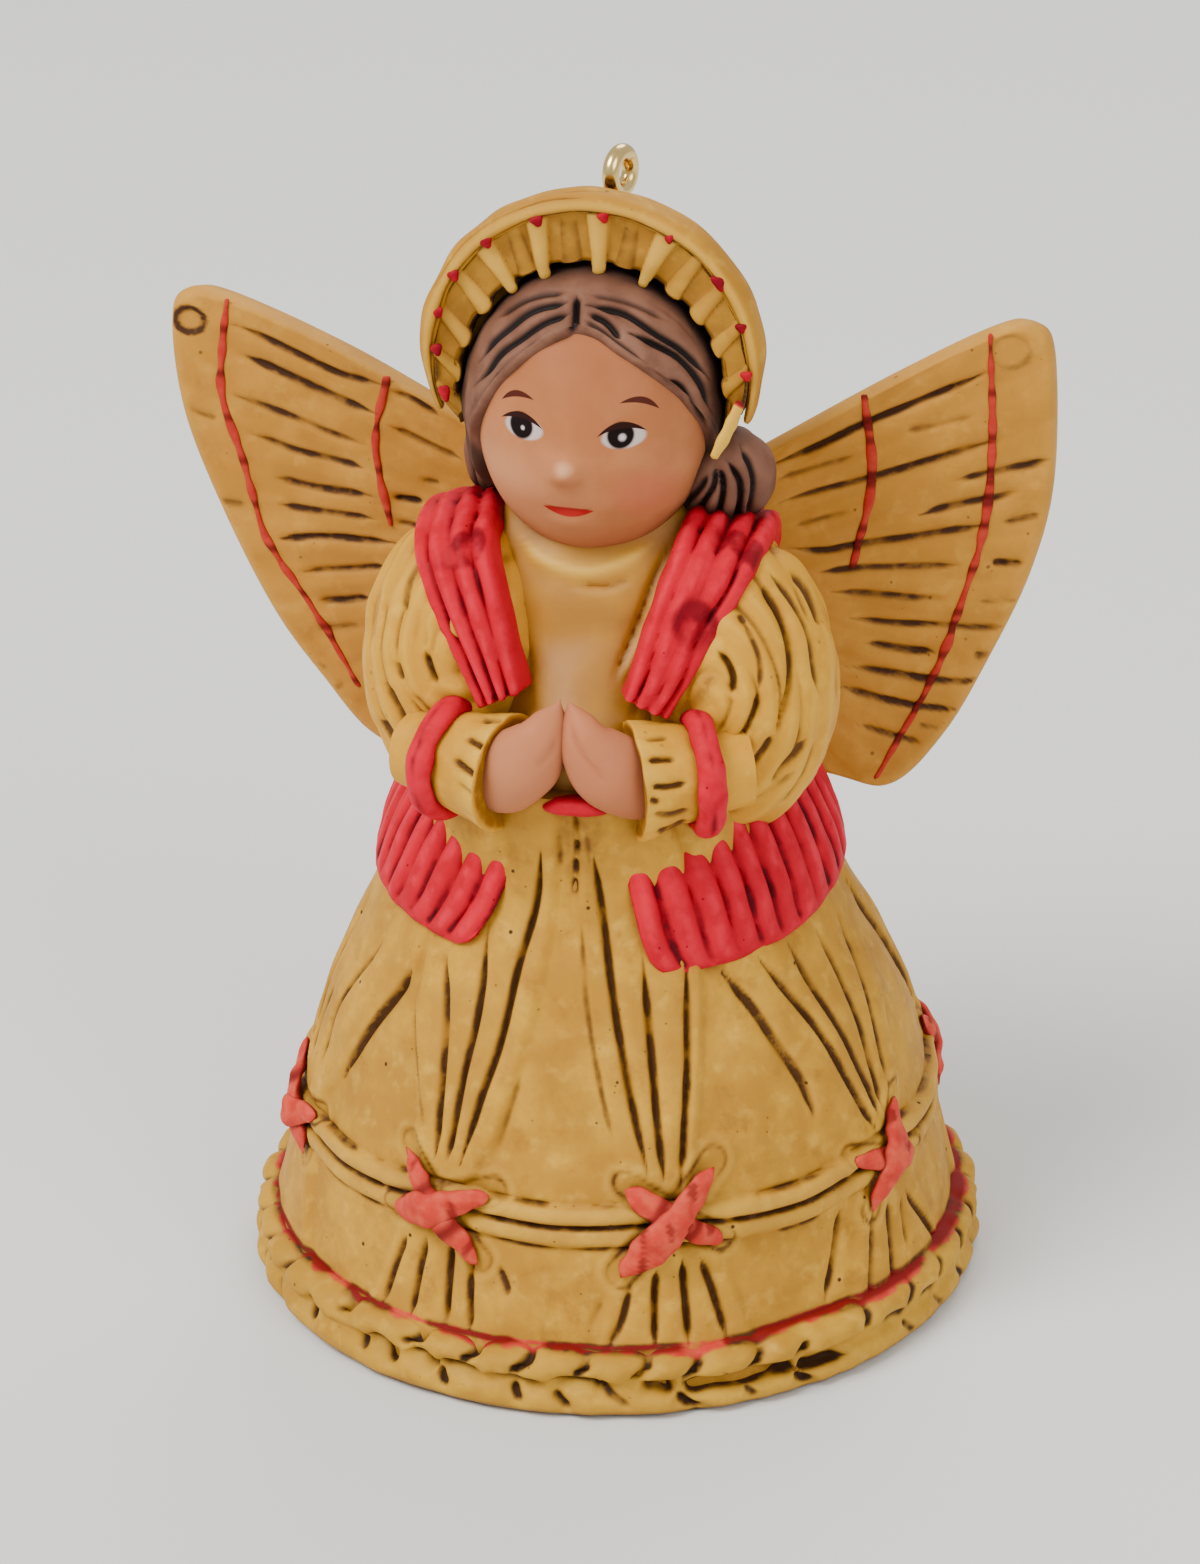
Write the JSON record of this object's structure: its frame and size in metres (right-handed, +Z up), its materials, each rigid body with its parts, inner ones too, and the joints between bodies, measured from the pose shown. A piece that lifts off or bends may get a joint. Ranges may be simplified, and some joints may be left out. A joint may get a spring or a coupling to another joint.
{
  "type": "miniature angel ornament",
  "caption": "Miniature cast angel figure in a bell skirt, with spread grooved wings and a round brimmed bonnet; stands on its flat foot or hangs by a wire eye.",
  "frame": {"origin": "middle of the underside, on the axis of the skirt", "axes": "+Z up through the figure, the face looks toward -Y, +X is to the viewer's right when facing the figure"},
  "size_m": [0.0425, 0.0354, 0.0558],
  "materials": {
    "angel_figure": "cast resin painted straw, red, brown and skin with a brown wash in the grooves, satin matt",
    "hanging_eye": "polished"
  },
  "bodies": {
    "root": {"angel_figure": "angel_figure", "hanging_eye": "hanging_eye"}
  },
  "joints": []
}
